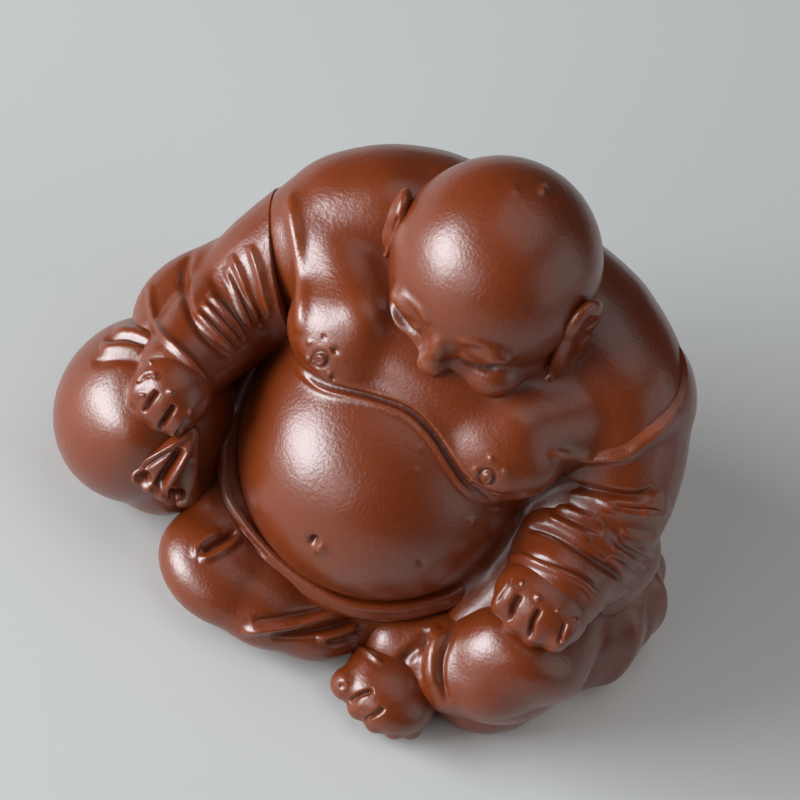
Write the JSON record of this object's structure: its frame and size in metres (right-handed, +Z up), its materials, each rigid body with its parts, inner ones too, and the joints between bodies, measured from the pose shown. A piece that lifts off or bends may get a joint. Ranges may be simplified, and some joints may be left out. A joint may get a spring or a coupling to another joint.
{
  "type": "tea pet figurine",
  "caption": "Seated laughing buddha tea pet in glossy red clay, bare bellied, one hand on a cloth sack and the other on a raised knee; it stands on a tea tray.",
  "frame": {"origin": "on the base slab's underside, at the table, below the middle of the body", "axes": "+Z up; the figure faces -Y, so its own left is +X"},
  "size_m": [0.0814, 0.062, 0.0611],
  "materials": {
    "red_clay": "burnished, tea-seasoned gloss"
  },
  "bodies": {
    "root": {"body_front_shell": "red_clay", "body_back_shell": "red_clay", "base_slab": "red_clay", "head": "red_clay", "right_ear": "red_clay", "left_ear": "red_clay", "cloth_sack": "red_clay", "sack_mouth": "red_clay", "waistband": "red_clay", "right_leg": "red_clay", "left_leg": "red_clay", "left_foot": "red_clay", "robe_hem": "red_clay", "right_sleeve": "red_clay", "left_sleeve": "red_clay", "right_hand": "red_clay", "left_hand": "red_clay"}
  },
  "joints": []
}
